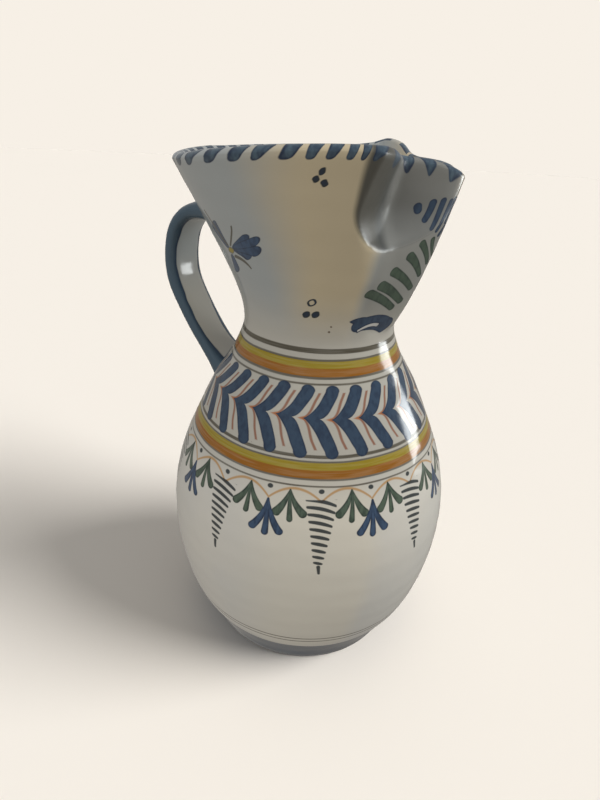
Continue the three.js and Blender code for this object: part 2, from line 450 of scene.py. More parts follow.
# %% Make the body an object
def finish_piece(mesh_data, name):
    mesh = bpy.data.meshes.new(name)
    mesh_data.to_mesh(mesh)
    mesh_data.free()
    piece = bpy.data.objects.new(name, mesh)
    bpy.context.scene.collection.objects.link(piece)
    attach(piece, "root")
    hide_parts("jug")
    triangles = sum(len(p.vertices) - 2 for p in mesh.polygons)
    print(name, "has", triangles, "triangles")
    return piece


body = finish_piece(body_mesh, "body")

# %% [markdown]
# ## Pulling the handle
# The handle is a pulled strap: flat oval in section, laid in one arch from the neck to
# the shoulder and pressed on at both ends, where the clay spreads. Rings are set
# square to the arch, one after the other, and bridged into a tube. The ends are sunk
# into the wall, which hides them from outside. The wall leans at both roots, so an edge
# of each end passes the inner face: the upper one by up to 2 mm, where it shows inside
# the neck as a thin strip, and the lower one by up to 3 mm, inside the shoulder.

# %% Arch of the handle
drop = HANDLE_TOP - HANDLE_FOOT
top_radius = wall_radius(HANDLE_TOP) - WALL / 2
foot_end = wall_radius(HANDLE_FOOT) - WALL / 2
bend = HANDLE_REACH - top_radius
ARCH = [
    (top_radius, HANDLE_TOP - 0.012 * drop),
    (top_radius + 0.32 * bend, HANDLE_TOP),
    (top_radius + 0.66 * bend, HANDLE_TOP - 0.025 * drop),
    (HANDLE_REACH - 0.12 * bend, HANDLE_TOP - 0.11 * drop),
    (HANDLE_REACH, HANDLE_TOP - 0.26 * drop),
    (HANDLE_REACH - 0.015 * bend, HANDLE_TOP - 0.46 * drop),
    (mix(foot_end, HANDLE_REACH, 0.73), HANDLE_TOP - 0.68 * drop),
    (mix(foot_end, HANDLE_REACH, 0.42), HANDLE_TOP - 0.87 * drop),
    (mix(foot_end, HANDLE_REACH, 0.14), HANDLE_FOOT),
    (0.98 * foot_end, HANDLE_FOOT - 0.06 * drop),
]


def arch_points(count):
    """Evenly spaced points on a smooth curve through the arch."""
    knots = [Vector((-r, 0, z)) for r, z in ARCH]
    knots = [2 * knots[0] - knots[1]] + knots + [2 * knots[-1] - knots[-2]]
    dense = []
    for a, b, c, d in zip(knots, knots[1:], knots[2:], knots[3:]):
        t0, t1 = 0, (b - a).length ** 0.5
        t2 = t1 + (c - b).length ** 0.5
        t3 = t2 + (d - c).length ** 0.5
        for i in range(40):
            t = mix(t1, t2, i / 40)
            ab = a.lerp(b, (t - t0) / (t1 - t0))
            bc = b.lerp(c, (t - t1) / (t2 - t1))
            cd = c.lerp(d, (t - t2) / (t3 - t2))
            dense.append(ab.lerp(bc, (t - t0) / (t2 - t0)).lerp(bc.lerp(cd, (t - t1) / (t3 - t1)),
                                                               (t - t1) / (t2 - t1)))
    dense.append(knots[-2])
    run = np.concatenate([[0], np.cumsum([(q - p).length for p, q in zip(dense, dense[1:])])])
    steps = np.linspace(0, run[-1], count)
    even = [Vector([np.interp(s, run, [p[k] for p in dense]) for k in range(3)]) for s in steps]
    return even, run[-1]


points, arch_length = arch_points(110)
print("the arch is", round(arch_length, 1), "mm long")


# %% Sweep the strap
STRAP_SQUARENESS, ROOT_SWELL = 0.72, 1.6
MELT_RUN, MELT_SPREAD = 3.5, 2.5


def strap_ring(mesh, place, outward, share, sides=40):
    ends = max(1 - share / 0.22, 0) ** 2 + max((share - 0.8) / 0.2, 0) ** 2
    melt = exp(-share * arch_length / MELT_RUN) + exp(-(1 - share) * arch_length / MELT_RUN)
    width = STRAP_WIDTH / 2 * mix(1, ROOT_SPREAD, ends) + MELT_SPREAD * melt
    depth = STRAP_THICKNESS / 2 * mix(1, ROOT_SWELL, ends) + MELT_SPREAD * melt
    ring = bmesh.ops.create_circle(mesh, segments=sides, radius=1)["verts"]
    for v in ring:
        s, c = v.co.x, v.co.y
        flat_s = (abs(s) ** STRAP_SQUARENESS) * (1 if s > 0 else -1)
        flat_c = (abs(c) ** STRAP_SQUARENESS) * (1 if c > 0 else -1)
        round_of[v] = (atan2(s, c) / pi, share * arch_length)
        v.co = (place + Vector((0, 1, 0)) * width * flat_s + outward * depth * flat_c) / 1000
    return list({e for v in ring for e in v.link_edges})


strap_mesh = bmesh.new()
round_of = {}
rings = []
for i, place in enumerate(points):
    ahead, behind = points[min(i + 1, len(points) - 1)], points[max(i - 1, 0)]
    tangent = (ahead - behind).normalized()
    outward = Vector((0, 1, 0)).cross(tangent).normalized()
    rings.append(strap_ring(strap_mesh, place, outward, i / (len(points) - 1)))
for ring, after in zip(rings, rings[1:]):
    bmesh.ops.bridge_loops(strap_mesh, edges=ring + after)
bmesh.ops.holes_fill(strap_mesh, edges=rings[0] + rings[-1], sides=60)
lay = strap_mesh.loops.layers.uv.new("strap_lay")
for face in strap_mesh.faces:
    face.smooth = True
    turns = [round_of[loop.vert][0] for loop in face.loops]
    wrap = max(turns) - min(turns) > 1
    for loop, turn in zip(face.loops, turns):
        loop[lay].uv = (turn + 2 if wrap and turn < 0 else turn, round_of[loop.vert][1] / 100)
bmesh.ops.recalc_face_normals(strap_mesh, faces=strap_mesh.faces)
handle = finish_piece(strap_mesh, "handle")

# %% [markdown]
# ## Arithmetic for brushes
# A brush stroke is a distance: how far a point lies from the stroke's edge. Such sums
# need many Math nodes, so a small class wraps a socket and lets Python's own signs add
# them. Every other node comes from one method that takes its kind, settings and
# inputs, in that order.


# %% Numbers in a shader
class Value:
    """A number in a material: arithmetic on it adds Math nodes."""

    def __init__(self, nodes, socket):
        self.nodes, self.socket = nodes, socket

    def math(self, operation, *terms, clamp=False):
        settings = {"operation": operation, "use_clamp": clamp}
        made = self.nodes.add("Math", settings, dict(enumerate(terms)))
        return Value(self.nodes, made.outputs[0])

    def __add__(self, other):
        return self.math("ADD", self, other)

    def __sub__(self, other):
        return self.math("SUBTRACT", self, other)

    def __rsub__(self, other):
        return self.math("SUBTRACT", other, self)

    def __mul__(self, other):
        return self.math("MULTIPLY", self, other)

    def __truediv__(self, other):
        return self.math("DIVIDE", self, other)

    def __pow__(self, other):
        return self.math("POWER", self, other)

    def __abs__(self):
        return self.math("ABSOLUTE", self)

    def __gt__(self, other):
        return self.math("GREATER_THAN", self, other)

    __radd__ = __add__
    __rmul__ = __mul__

    def least(self, other):
        return self.math("MINIMUM", self, other)

    def most(self, other):
        return self.math("MAXIMUM", self, other)

    def clamped(self):
        return self.math("ADD", self, 0.0, clamp=True)

    def nearest_whole(self):
        return self.math("ROUND", self)

    def step(self, low, high, to_low=0.0, to_high=1.0):
        """Eased change from one level to another as the number goes from low to high."""
        made = self.nodes.add("MapRange", {"interpolation_type": "SMOOTHSTEP"},
                              {"Value": self, "From Min": low, "From Max": high,
                               "To Min": to_low, "To Max": to_high})
        return Value(self.nodes, made.outputs["Result"])


# %% One material's nodes
class Nodes:
    """The nodes of one material, with the places on the jug that its paint needs."""

    def __init__(self, name):
        self.material = bpy.data.materials.new(name)
        self.material.use_nodes = True
        self.tree = self.material.node_tree
        self.surface = self.tree.nodes["Principled BSDF"]
        self.place = self.add("TexCoord").outputs["Object"]
        split = self.add("SeparateXYZ", {}, {0: self.place})
        self.x, self.y, self.z = [Value(self, s) * 1000 for s in split.outputs]

    def add(self, kind, settings=None, inputs=None):
        node = self.tree.nodes.new("ShaderNode" + kind)
        for key, value in (settings or {}).items():
            if key == "stops":
                self.set_stops(node.color_ramp, value)
            else:
                setattr(node, key, value)
        for key, value in (inputs or {}).items():
            socket = node.inputs[key]
            if isinstance(value, Value):
                value = value.socket
            if isinstance(value, bpy.types.NodeSocket):
                self.tree.links.new(value, socket)
            else:
                socket.default_value = value
        return node

    def set_stops(self, ramp, stops):
        while len(ramp.elements) < len(stops):
            ramp.elements.new(1.0)
        for element, (position, colour) in zip(ramp.elements, stops):
            element.position = position
            element.color = colour

    def number(self, socket):
        return Value(self, socket)

    def turn(self):
        """Angle round the axis from the spout, in degrees."""
        return self.y.math("ARCTAN2", self.y, self.x) * degrees(1)

    def noise(self, scale, detail=2.0, stretch=(1, 1, 1), place=None):
        made = self.add("Mapping", {}, {"Vector": place or self.place, "Scale": stretch})
        return self.add("TexNoise", {}, {"Vector": made.outputs[0], "Scale": scale,
                                         "Detail": detail})

    def blend(self, under, over, factor):
        """Lays one colour over another where the factor is 1."""
        made = self.add("Mix", {"data_type": "RGBA"}, {0: factor})
        for index, colour in ((6, under), (7, over)):
            if isinstance(colour, bpy.types.NodeSocket):
                self.tree.links.new(colour, made.inputs[index])
            else:
                made.inputs[index].default_value = (*colour, 1)
        return made.outputs[2]


# %% [markdown]
# ## Tin glaze
# The white is a thick opaque glaze over red clay. It is never one tone: it pools a
# little, carries a few dark specks of iron, and shines like wet paint. The colours are
# brushed on it before firing and sink in, so they take the same gloss, turn darker
# where the brush left a pool along its edge, and show the hairs in its middle. The
# white's tone is laid on first, with painted light and shade in it: creamy on the belly,
# a painted shade that greys it towards the waist and makes the neck darker and cool
# beside the handle, painted warm light at the front, a darker painted shade on the
# flanks of the spout with painted light near its tip, and a deep painted shade in the
# thumb presses.

# %% Glaze and its colours
WHITE_WARM, WHITE_COOL = (0.72, 0.69, 0.62), (0.66, 0.65, 0.61)
# Painted warm light for the front of the belly, and painted shade that greys the white towards the
# waist.
BELLY_WARM_LIGHT, SHOULDER_SHADE = (0.76, 0.71, 0.59), (0.47, 0.45, 0.395)
# Painted shade for the neck, cool beside the handle, and painted warm light for its front.
NECK_COOL_SHADE, NECK_WARM_LIGHT = (0.41, 0.44, 0.445), (0.63, 0.53, 0.35)
# Painted shade for the flanks of the spout, and painted light near its tip.
FLANK_SHADE, TIP_LIGHT = (0.26, 0.265, 0.25), (0.46, 0.40, 0.31)
# Painted shade for the thumb presses: lighter towards the spout, deep on the side away from it.
PRESS_SHADE, PRESS_DEEP_SHADE = (0.21, 0.215, 0.205), (0.045, 0.050, 0.048)
SPECK = (0.10, 0.065, 0.04)
BLUE, BLUE_DEEP = (0.050, 0.092, 0.170), (0.016, 0.031, 0.066)
NAVY, RIM_BLUE = (0.034, 0.064, 0.112), (0.074, 0.118, 0.158)
GREEN, GREEN_DEEP = (0.092, 0.132, 0.095), (0.030, 0.050, 0.038)
SPRIG_GREEN = (0.062, 0.096, 0.066)
YELLOW, ORANGE = (0.37, 0.28, 0.015), (0.35, 0.135, 0.005)
SWAG, DAB = (0.50, 0.27, 0.085), (0.42, 0.15, 0.05)
LINE = (0.085, 0.075, 0.05)
RED_BROWN = (0.27, 0.105, 0.055)
HATCH = (0.02, 0.03, 0.034)
print("blue is", BLUE, "where it is thin and", BLUE_DEEP, "where it pools")

# %% White glaze with its specks, and its painted light and shade
SPECK_CELLS, SPECK_SHARE = 62, 0.86
# Degrees from the spout and heights where the painted light and shade begin and end.
WARM_BEGINS, WARM_ENDS, FLANK_ENDS = (34, 44), (96, 66), (46, 30)
GREY_RISE, NECK_RISE, TIP_RISE = (108, 140), (178, 208), (232, 254)


def start_glaze(name):
    """A glazed surface without paint, with painted light and shade set by angle and by height."""
    nodes = Nodes(name)
    cloud = nodes.number(nodes.noise(14, 4).outputs["Fac"]).step(0.3, 0.7)
    white = nodes.blend(WHITE_WARM, WHITE_COOL, cloud)
    away = abs(nodes.turn() + (cloud - 0.5) * 6)
    # Painted warm light at the front, on the belly and on the neck.
    warm = away.step(*WARM_ENDS) * away.step(*WARM_BEGINS)
    white = nodes.blend(white, BELLY_WARM_LIGHT, warm * 0.6)
    # Painted shade: the white greys from the shoulder up towards the waist.
    white = nodes.blend(white, SHOULDER_SHADE, nodes.z.step(*GREY_RISE) * 0.9)
    # Painted shade on the flanks of the spout, with warm painted light towards the tip.
    flank = nodes.blend(FLANK_SHADE, TIP_LIGHT, nodes.z.step(*TIP_RISE) * 0.8)
    neck = nodes.blend(NECK_COOL_SHADE, flank, away.step(*FLANK_ENDS))
    neck = nodes.blend(neck, NECK_WARM_LIGHT, warm)
    # Painted shade: the neck is darker than the belly.
    white = nodes.blend(white, neck, nodes.z.step(*NECK_RISE) * 0.9)
    return nodes, nodes.blend(white, SPECK, specks_of(nodes))


def specks_of(nodes):
    """Small iron specks: a dot in those cells of a honeycomb that draw a high number."""
    cells = nodes.add("TexVoronoi", {}, {"Vector": nodes.place, "Scale": SPECK_CELLS})
    pick = nodes.number(nodes.add("SeparateColor", {}, {0: cells.outputs["Color"]}).outputs[0])
    size = (pick - SPECK_SHARE).most(0.0) * 0.16
    dots = nodes.number(cells.outputs["Distance"])
    return (dots - size).step(0.006, -0.006) * (pick > SPECK_SHARE) * 0.75


# %% Painted shade in the thumb presses
def shade_in_press(nodes, colour):
    """The glaze with painted shade in the thumb presses, and where they are."""
    rise = nodes.z - PRESS_HEIGHT
    down = rise.least(0.0) / (1.1 * PRESS_DROP) + rise.most(0.0) / (4 * PRESS_DROP)
    level = (down * down * -1.0 + 1.0).most(0.001)
    away = abs(nodes.turn() - SPOUT_LEAN * 0.7) - (NEAR_HALF_ANGLE - PRESS_HALF_ANGLE)
    across = away / PRESS_HALF_ANGLE / level ** 0.5
    side = across.most(0.0) * 0.84 + across.least(0.0) * 0.5
    bowl = ((side * side * -1.0 + 1.0) * level).most(0.0)
    # Painted shade in the press: deep on the side away from the spout, lighter towards it.
    thin = nodes.blend(PRESS_SHADE, PRESS_DEEP_SHADE, across.step(-0.3, 0.3))
    pressed = bowl.step(0.0, 0.22)
    return nodes.blend(colour, thin, pressed * 0.92), pressed


# %% Gloss of the glaze
def finish_glaze(nodes, colour, pressed=0.0):
    """Gives the paint its wet gloss, which is duller where the wall was pressed."""
    gloss = nodes.number(nodes.noise(120, 3).outputs["Fac"])
    sag = nodes.number(nodes.noise(70, 2).outputs["Fac"])
    bump = nodes.add("Bump", {}, {"Height": sag, "Strength": 0.25, "Distance": 0.0012})
    surface = nodes.surface
    nodes.tree.links.new(colour, surface.inputs["Base Color"])
    rough = gloss.step(0.3, 0.7, 0.10, 0.17) + pressed * 0.24
    nodes.tree.links.new(rough.socket, surface.inputs["Roughness"])
    nodes.tree.links.new(bump.outputs[0], surface.inputs["Normal"])
    surface.inputs["IOR"].default_value = 1.5
    print(nodes.material.name, "is made of", len(nodes.tree.nodes), "nodes")
    return nodes.material


# %% A brush stroke
def brush(x, y, start, end, widths, curl=0.0, fullness=1.0):
    """Distance to the edge of a stroke from start to end, negative inside, in millimetres."""
    (ax, ay), (bx, by) = start, end
    length = hypot(bx - ax, by - ay)
    ex, ey = (bx - ax) / length, (by - ay) / length
    along = x * ex + (y * ey - (ax * ex + ay * ey))
    across = y * ex - (x * ey + (ay * ex - ax * ey))
    share = (along / length).clamped()
    if curl:
        across = across + share * (share - 1) * (4 * curl)
    past = along - share * length
    spread = share if fullness == 1.0 else share ** fullness
    return (across * across + past * past) ** 0.5 - (spread * (widths[1] - widths[0]) + widths[0])


def nearest(distances):
    found = distances[0]
    for distance in distances[1:]:
        found = found.least(distance)
    return found


def fill(nodes, under, distance, pale, deep, hairs, pool=1.1, soft=0.22):
    """Lays a brushed colour inside a distance, with a darker pool along its edge."""
    rim = distance.step(-pool, 0.0)
    tone = (rim * 0.75 + (hairs - 0.5) * 0.9 + 0.18).clamped()
    paint = nodes.blend(pale, deep, tone)
    return nodes.blend(under, paint, distance.step(soft, -soft))


# %% Shake of the hand
def shaken(nodes, amount=0.5, scale=38):
    """Small slow shifts in two directions, in millimetres, so that no two repeats are alike."""
    made = nodes.add("SeparateColor", {}, {0: nodes.noise(scale, 1).outputs["Color"]})
    first, second = [(nodes.number(s) - 0.5) * (4 * amount) for s in made.outputs[:2]]
    return first, second


def hairs_of(nodes, stretch=(1, 1, 0.25), scale=700):
    return nodes.number(nodes.noise(scale, 2, stretch).outputs["Fac"]).step(0.25, 0.75)


# %% [markdown]
# ## Banding on the shoulder
# With the jug turning on a wheel, a loaded brush held still draws a perfect ring. The
# rings depend on height alone, so one colour ramp can hold a whole group of them, and
# its alpha says where there is paint. A little noise added to the height gives the
# bead of a real brush, and noise drawn out round the jug gives its streaks.

# %% Rings of the shoulder and the foot
UPPER_RINGS = [
    (179.25, 177.05, LINE, 0.95), (174.75, 173.85, LINE, 0.9),
    (173.85, 170.9, YELLOW, 1.0), (170.9, 167.5, ORANGE, 1.0), (167.5, 166.5, LINE, 0.9),
    (164.95, 164.15, LINE, 0.85),
]
LOWER_RINGS = [
    (137.35, 135.95, LINE, 0.92), (134.95, 134.2, LINE, 0.85),
    (134.2, 131.2, YELLOW, 1.0), (131.2, 127.75, ORANGE, 1.0), (127.75, 126.95, LINE, 0.85),
]
LOWEST_RING = [(124.95, 124.2, LINE, 0.85)]


def ring_stops(rings, low, high, soft=0.16):
    """Stops of a ramp that holds rings, each given by its top, foot, colour and cover."""
    stops = []
    lower = None
    for top, foot, colour, cover in sorted(rings, key=lambda r: r[1]):
        if lower is None or foot - lower[0] > 0.3:
            if lower:
                stops.append((lower[0] + soft, (*lower[1], 0.0)))
            stops.append((foot - soft, (*colour, 0.0)))
        stops.append((foot + soft, (*colour, cover)))
        stops.append((top - soft, (*colour, cover)))
        lower = (top, colour)
    stops.append((lower[0] + soft, (*lower[1], 0.0)))
    return [((z - low) / (high - low), colour) for z, colour in stops]


def lay_rings(nodes, colour, rings, low, high):
    wobble = nodes.number(nodes.noise(30, 2).outputs["Fac"])
    level = (nodes.z + (wobble - 0.5) * 1.0 - low) / (high - low)
    ramp = nodes.add("ValToRGB", {"stops": ring_stops(rings, low, high)}, {0: level})
    streaks = nodes.number(nodes.noise(60, 3, (1, 1, 22)).outputs["Fac"]).step(0.25, 0.75)
    cover = nodes.number(ramp.outputs["Alpha"]) * (streaks * 0.16 + 0.88)
    darker = nodes.add("Mix", {"data_type": "RGBA", "blend_type": "MULTIPLY"}, {0: streaks * 0.35})
    nodes.tree.links.new(ramp.outputs["Color"], darker.inputs[6])
    darker.inputs[7].default_value = (0.62, 0.5, 0.42, 1)
    return nodes.blend(colour, darker.outputs[2], cover.clamped())


print(len(ring_stops(UPPER_RINGS, 162, 181)), "stops in the upper ramp of the shoulder")

# %% [markdown]
# ## Chevrons
# Between the bands run twenty-six chevrons, each two fat blue strokes that meet in a
# point, with an orange dab beside it and a thin red-brown line between neighbours. All
# are alike, so the angle is sheared along the stroke's own bend and folded into one
# repeat, where each stroke becomes a straight bar.

# %% Chevrons between the bands
CHEVRONS = 26
JOINT_ANGLE, JOINT_HEIGHT, JOINT_RADIUS = -63.9, 151.6, 51.3
SHOULDER_SLOPE = 0.54
UPPER_ARM, LOWER_ARM = 10.6, 12.9
UPPER_SWEEP, LOWER_SWEEP, BEND = 11.2, 10.4, 0.6
HALF_STROKE, HALF_HAIR, HALF_DAB = 3.05, 0.5, 0.72
HAIR_ANGLE, DAB_ANGLE = -4.7, -4.5
print("each chevron takes", round(360 / CHEVRONS, 2), "degrees")


def lay_chevrons(nodes, colour):
    """Red-brown lines first, then the orange dabs, and the blue strokes over both."""
    shift, lift = shaken(nodes, 0.42, 46)
    z = nodes.z + lift
    rise = z - JOINT_HEIGHT
    above = rise > 0.0
    reach = JOINT_HEIGHT * SHOULDER_SLOPE + JOINT_RADIUS - z * SHOULDER_SLOPE
    share = abs(rise) / (above * (UPPER_ARM - LOWER_ARM) + LOWER_ARM)
    inside = share.least(1.0)
    sweep = inside ** BEND * (above * (UPPER_SWEEP - LOWER_SWEEP) + LOWER_SWEEP)
    millimetre = reach * radians(1)
    turned = (nodes.turn() - JOINT_ANGLE) + shift * 1.1 - sweep
    period = 360 / CHEVRONS

    def bar(offset):
        """Distance from the middle of the nearest stroke, or of a line beside it."""
        cells = (turned - offset) / period
        return (cells - cells.nearest_whole()) * period * millimetre * 0.8

    past = (share - inside) * 12.0
    side = bar(0.0)
    swell = inside.step(0.0, 0.5) * -0.35 - inside.step(0.75, 1.0) * 0.2 + HALF_STROKE
    blue = (side * side + past * past) ** 0.5 - swell
    hair = abs(bar(inside.step(0.0, 0.7) * -2.1 + HAIR_ANGLE)) - HALF_HAIR
    red = hair.most((inside - 0.93) * 12.0 + past)
    dab_side = bar(DAB_ANGLE)
    dab = ((dab_side * dab_side * 0.25) + rise * rise) ** 0.5 - HALF_DAB
    colour = nodes.blend(colour, RED_BROWN, red.step(0.28, -0.28) * 0.88)
    colour = nodes.blend(colour, DAB, dab.step(0.5, -0.3) * 0.9)
    streaks = hairs_of(nodes, (1, 1, 0.5), 420)
    return fill(nodes, colour, blue, NAVY, BLUE_DEEP, streaks, pool=1.0)


nodes, colour = start_glaze("shoulder_glaze")
colour = lay_rings(nodes, colour, UPPER_RINGS, 162.0, 181.0)
colour = lay_rings(nodes, colour, LOWER_RINGS, 122.0, 140.0)
shoulder_glaze = finish_glaze(nodes, lay_chevrons(nodes, colour))

# %% [markdown]
# ## Garland on the belly
# Below the bands hangs a garland: orange arches, a green spray of three leaves under
# each arch, and by turns a blue spray and a hanging row of short strokes at the
# points. One repeat is 40 degrees and nearly the same both ways, so the angle is
# folded and mirrored, and a slow shake of the hand keeps the two halves unlike.

# %% Garland
REPEAT, PENDANT_ANGLE = 40.0, -57.7
GARLAND_RADIUS = 66.0
ARCH_PEAK, ARCH_DEPTH = 123.4, 5.3
SPRAY_ANGLE, SPRAY_TOP, BLUE_TOP = 11.9, 122.6, 117.2
SPRAY_LEAVES = [(-5.8, -9.6, 1.9, 0.7), (-0.4, -12.4, 1.35, 0.0), (5.5, -9.9, 1.9, -0.7)]
BLUE_PETALS = [(-5.6, -13.2, 1.85, 0.9), (0.1, -14.8, 1.6, 0.0)]
RUNG_STEP, RUNG_START, RUNG_TILT, RUNG_BEND = 3.12, 87.2, 0.20, 0.016
PENDANT_TOP, PENDANT_END, TAIL_END = 119.0, 88.4, 84.6
PENDANT_HALF, PENDANT_NARROWING, NARROWING_TOP, NARROWING_RUN = 6.3, 5.6, 117.8, 31.0
DOT_OVER_PENDANT, DOT_OVER_BLUE = 122.4, 122.8
print("a pendant has", round((PENDANT_TOP - PENDANT_END) / RUNG_STEP), "short strokes")


def spray_at(x, z, root, petals, stem):
    """Petals that start thin at one root; each has its end, width and curl."""
    return nearest([brush(x, z, root, (root[0] + dx, root[1] + dz), (stem, wide), curl, 0.9)
                    for dx, dz, wide, curl in petals])


def oval_dot(x, z, height):
    """A small upright oval, by its distance to the side and the height of its middle."""
    return (((x * x) * 0.55 + (z - height) * (z - height)) ** 0.5) - 0.95


# %% Arches, sprays and pendants
def lay_garland(nodes, colour):
    """Arches first, then the green and blue sprays, and the dark ink over them."""
    shift, lift = shaken(nodes, 0.55, 33)
    cells = (nodes.turn() - PENDANT_ANGLE) / REPEAT
    signed = (cells - cells.nearest_whole()) * (REPEAT * radians(1) * GARLAND_RADIUS)
    skew = signed + shift
    x = abs(skew)
    z = nodes.z + lift
    half = REPEAT / 2 * radians(1) * GARLAND_RADIUS
    spray = SPRAY_ANGLE * radians(1) * GARLAND_RADIUS
    arch = ((x - half / 2) / (half / 2)).least(1.0)
    sag = z - (arch * arch * -ARCH_DEPTH + ARCH_PEAK)
    swags = abs(sag) * 0.85 - 0.45
    colour = nodes.blend(colour, SWAG, swags.step(0.3, -0.3) * 0.85)
    hairs = hairs_of(nodes, (1, 1, 0.3), 600)

    leaves = spray_at(x, z, (spray, SPRAY_TOP), SPRAY_LEAVES, stem=0.4)
    colour = fill(nodes, colour, leaves, GREEN, GREEN_DEEP, hairs, pool=1.0)
    petals = spray_at(x, z, (half, BLUE_TOP), BLUE_PETALS, stem=0.6)
    colour = fill(nodes, colour, petals, BLUE, BLUE_DEEP, hairs, pool=1.0)

    drop_share = (NARROWING_TOP - z) / NARROWING_RUN
    slope = z + skew * RUNG_TILT + skew * skew * RUNG_BEND
    rungs = (slope - RUNG_START) / RUNG_STEP
    rung = abs(rungs - rungs.nearest_whole()) * RUNG_STEP
    taper = drop_share.clamped() * -PENDANT_NARROWING + PENDANT_HALF
    beyond = (x - taper).most(0.0)
    swell = (x / taper).least(1.0) ** 2 * -0.22 + 0.80
    hatch = (rung * rung + beyond * beyond) ** 0.5 - swell
    hatch = hatch.most(z - PENDANT_TOP).most(PENDANT_END - z)
    tail = brush(skew, z, (0.2, PENDANT_END), (0.5, TAIL_END), (0.75, 0.5))
    dots = [oval_dot(x, z, DOT_OVER_PENDANT), oval_dot(x - half, z, DOT_OVER_BLUE)]
    ink = nearest([hatch, tail] + dots)
    return nodes.blend(colour, HATCH, ink.step(0.25, -0.2) * 0.95)


nodes, colour = start_glaze("belly_glaze")
colour = lay_rings(nodes, colour, LOWEST_RING, 120.0, 128.0)
belly_glaze = finish_glaze(nodes, lay_garland(nodes, colour))

# %% Foot band
FOOT_BAND_TOP = 21.8
FOOT_RINGS = [(33.9, 32.9, LINE, 0.85), (30.85, 29.95, LINE, 0.85)]
nodes, colour = start_glaze("foot_glaze")
colour = lay_rings(nodes, colour, FOOT_RINGS, 26.0, 37.0)
edge = nodes.z - FOOT_BAND_TOP + (nodes.number(nodes.noise(45, 2).outputs["Fac"]) - 0.5) * 1.4
streaks = nodes.number(nodes.noise(55, 4, (1, 1, 9)).outputs["Fac"]).step(0.2, 0.8)
colour = fill(nodes, colour, edge, NAVY, BLUE_DEEP, streaks, pool=1.6, soft=0.4)
foot_glaze = finish_glaze(nodes, colour)

# %% [markdown]
# ## Pictures on the neck
# The neck carries dabs of blue along the rim, a flower beside the handle, dots in
# threes and, on both flanks of the spout, a sprig of green leaves with a blue scroll.
# Each stroke is given by its two ends on the wall, as an angle and a height, and is
# laid on the paper pattern.

# %% Paper pattern in a shader
STRETCH = 1.1
print("1 mm of height is", STRETCH, "mm along the slope of the neck")


def spot(angle, z):
    """A place on the neck as paper lengths: tape run without its sign, and slope height."""
    return abs(tape(angle, z)), z * STRETCH


def paper_of(nodes):
    lengths = nodes.add("UVMap", {"uv_map": "paper"}).outputs[0]
    pattern = nodes.add("SeparateXYZ", {}, {0: lengths})
    shift, lift = shaken(nodes, 0.18, 60)
    run = nodes.number(pattern.outputs[0]) * 100
    return abs(run) + shift, nodes.number(pattern.outputs[1]) * (100 * STRETCH) + lift


def strokes_on(paper_place, strokes):
    x, y = paper_place
    return nearest([brush(x, y, spot(*start), spot(*end), *rest)
                    for start, end, *rest in strokes])


# %% Dabs along the rim
FLANK_DAB, SIDE_DAB = 8.4, 6.1
DAB_ROUNDING, DAB_SPACING, DAB_PAST_CREST = 1.3, 7.5, 2.2
FLANK_TO_SIDE, SIDE_LEAN = (38, 50), 0.46


def lay_rim(nodes, colour):
    """Blue dabs over the crest: one for each whole number of the count along the rim."""
    counts = nodes.add("UVMap", {"uv_map": "rim_count"}).outputs[0]
    pattern = nodes.add("SeparateXYZ", {}, {0: counts})
    shift, lift = shaken(nodes, 0.10, 60)
    count = nodes.number(pattern.outputs[0]) + shift
    below = nodes.number(pattern.outputs[1]) * 10 + lift
    across = count - count.nearest_whole()
    on_side = abs(nodes.turn()).step(*FLANK_TO_SIDE)
    length = on_side * (SIDE_DAB - FLANK_DAB) + FLANK_DAB
    depth = (below / length).clamped()
    lean = (depth - 0.5) * on_side * SIDE_LEAN
    half_width = (on_side * 0.02 + 0.38) - depth * (on_side * -0.18 + 0.37)
    side = ((abs(across + lean) - half_width) * DAB_SPACING + DAB_ROUNDING).most(0.0)
    end = (below - length + DAB_ROUNDING).most(0.0)
    edge = ((side * side + end * end) ** 0.5 - DAB_ROUNDING).most(-DAB_PAST_CREST - below)
    streaks = hairs_of(nodes, (1, 1, 0.4), 420)
    return fill(nodes, colour, edge, RIM_BLUE, BLUE_DEEP, streaks, pool=1.3, soft=0.25)


# %% Flower and dots beside the handle
PETALS = [
    ((-109.4, 219.2), (-100.6, 217.8), (0.7, 2.2), -0.3, 0.6),
    ((-109.6, 220.3), (-99.2, 225.0), (0.8, 2.6), 0.4, 0.6),
    ((-109.0, 219.8), (-94.6, 220.6), (0.8, 2.8), -0.2, 0.6),
    ((-109.2, 220.2), (-94.2, 224.6), (0.8, 2.8), 0.2, 0.6),
    ((-115.0, 219.8), (-119.2, 227.8), (1.0, 2.5), 0.0, 0.7),
    ((-115.2, 215.8), (-116.5, 209.8), (1.0, 2.3), 0.0, 0.7),
]
SEPALS = [
    ((-104.0, 229.4), (-111.2, 221.0), (0.4, 0.7), -1.0),
    ((-111.4, 216.2), (-101.6, 212.2), (0.9, 0.3), -0.9),
    ((-122.4, 233.4), (-114.4, 220.4), (0.35, 0.5)),
]
HEART = [((-113.9, 218.6), (-112.4, 218.3), (1.3, 1.2))]
DOTS = [
    ((-64.7, 252.5), (-64.7, 251.6), (0.95, 0.9)),
    ((-66.6, 249.9), (-66.3, 249.1), (0.95, 0.9)),
    ((-64.2, 248.9), (-63.7, 247.9), (0.95, 0.9)),
    ((-71.0, 195.3), (-70.8, 194.6), (1.55, 1.5)),
    ((-65.3, 195.6), (-65.1, 194.9), (1.55, 1.5)),
]
RING_DOT = [((-67.8, 201.2), (-67.5, 200.6), (1.3, 1.3))]
FLECKS = [
    ((-55.2, 189.6), (-54.8, 189.3), (0.35, 0.3)),
    ((-56.2, 187.1), (-55.8, 186.8), (0.45, 0.35)),
]

